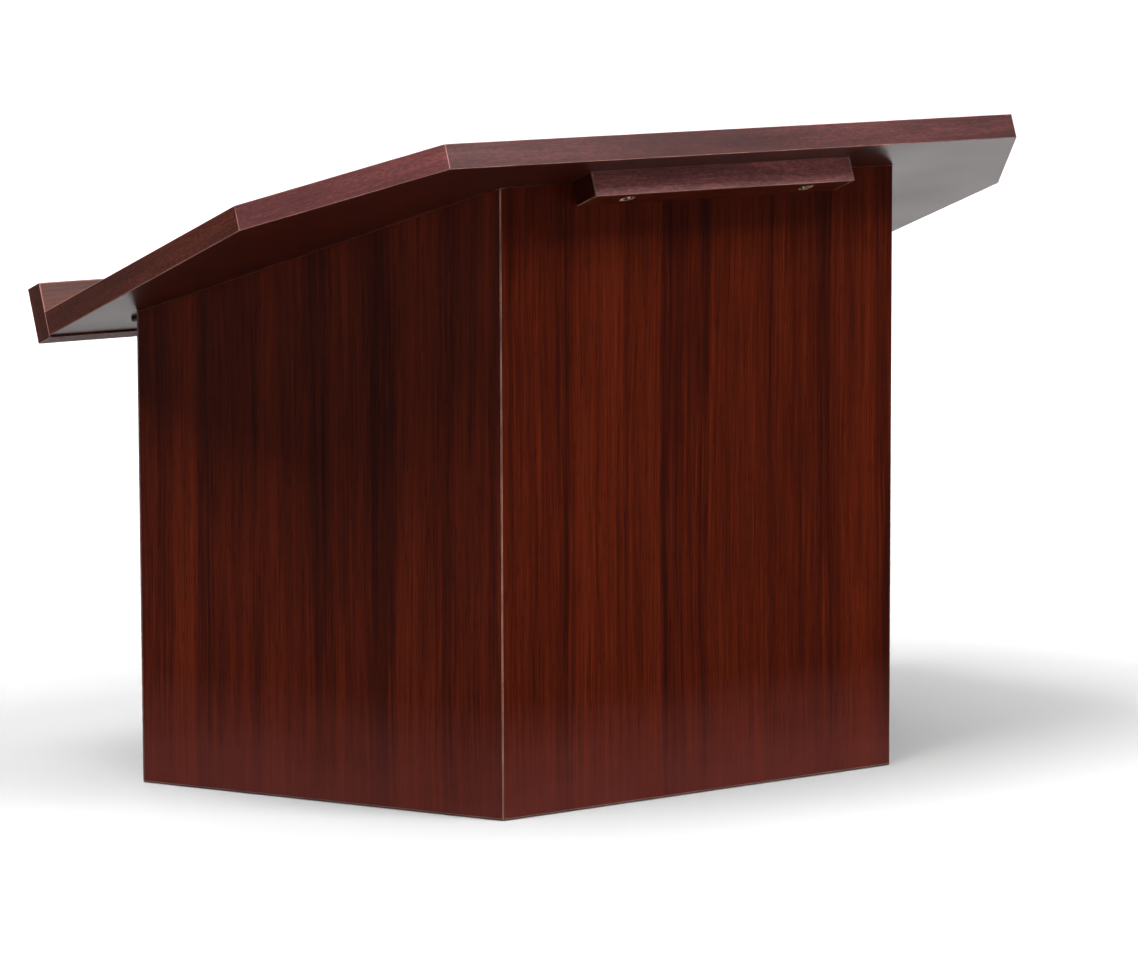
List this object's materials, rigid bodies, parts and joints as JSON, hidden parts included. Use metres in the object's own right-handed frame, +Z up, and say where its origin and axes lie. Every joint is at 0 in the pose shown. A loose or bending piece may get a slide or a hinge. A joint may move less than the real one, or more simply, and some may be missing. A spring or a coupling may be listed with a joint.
{
  "type": "tabletop lectern",
  "caption": "Knock-down tabletop lectern in dark mahogany laminate: a sloping reading board with a book stop rests on a three-panel base with splayed folding sides.",
  "frame": {"origin": "centre of the overall footprint, on the table top under the lectern", "axes": "+X across the lectern, to the right as the audience sees it from -Y; +Y towards the presenter; +Z up"},
  "size_m": [0.6858, 0.4128, 0.4826],
  "materials": {
    "mahogany_laminate": "satin dark mahogany melamine",
    "edge_band": "satin dark mahogany edge banding",
    "dowel_wood": "plain beech",
    "black_plastic": "moulded black",
    "hinge_steel": "brassed steel",
    "pin_steel": "plain",
    "screw_steel": "zinc plated"
  },
  "bodies": {
    "base_front": {"front_panel": "mahogany_laminate", "front_panel_top_band": "edge_band", "front_panel_bottom_band": "edge_band", "left_hinge_front_leaves": "hinge_steel", "right_hinge_front_leaves": "hinge_steel", "left_hinge_pins": "pin_steel", "right_hinge_pins": "pin_steel", "left_hinge_front_screws": "screw_steel", "right_hinge_front_screws": "screw_steel"},
    "side_left": {"left_side_panel": "mahogany_laminate", "left_side_rear_band": "edge_band", "left_side_top_band": "edge_band", "left_side_bottom_band": "edge_band", "left_hinge_side_leaves": "hinge_steel", "left_hinge_side_screws": "screw_steel"},
    "side_right": {"right_side_panel": "mahogany_laminate", "right_side_rear_band": "edge_band", "right_side_top_band": "edge_band", "right_side_bottom_band": "edge_band", "right_hinge_side_leaves": "hinge_steel", "right_hinge_side_screws": "screw_steel"},
    "top": {"reading_board": "mahogany_laminate", "board_left_band": "edge_band", "board_left_corner_band": "edge_band", "board_front_band": "edge_band", "board_right_corner_band": "edge_band", "board_right_band": "edge_band", "book_stop": "mahogany_laminate", "book_stop_top_band": "edge_band", "book_stop_bottom_band": "edge_band", "book_stop_left_end_band": "edge_band", "book_stop_right_end_band": "edge_band", "book_stop_dowels": "dowel_wood", "front_cleat": "mahogany_laminate", "front_cleat_face_band": "edge_band", "front_cleat_left_band": "edge_band", "front_cleat_right_band": "edge_band", "cleat_screws": "screw_steel", "left_side_keeper": "black_plastic", "right_side_keeper": "black_plastic", "keeper_screws": "screw_steel"}
  },
  "joints": [
    {"name": "top_lift", "type": "slide", "parent": "base_front", "child": "top", "axis": [0, 0, 1], "range_m": [0, 0.16]},
    {"name": "left_fold", "type": "hinge", "parent": "base_front", "child": "side_left", "pos_m": [-0.16274, -0.13595, 0.2], "axis": [0, 0, -1], "range_deg": [0, 112]},
    {"name": "right_fold", "type": "hinge", "parent": "base_front", "child": "side_right", "pos_m": [0.16274, -0.13595, 0.2], "axis": [0, 0, 1], "range_deg": [0, 58]}
  ],
  "couplings": [
    {"joint": "left_fold", "follows": "top_lift", "rad_per_m": 12.217},
    {"joint": "right_fold", "follows": "top_lift", "rad_per_m": 6.326}
  ]
}
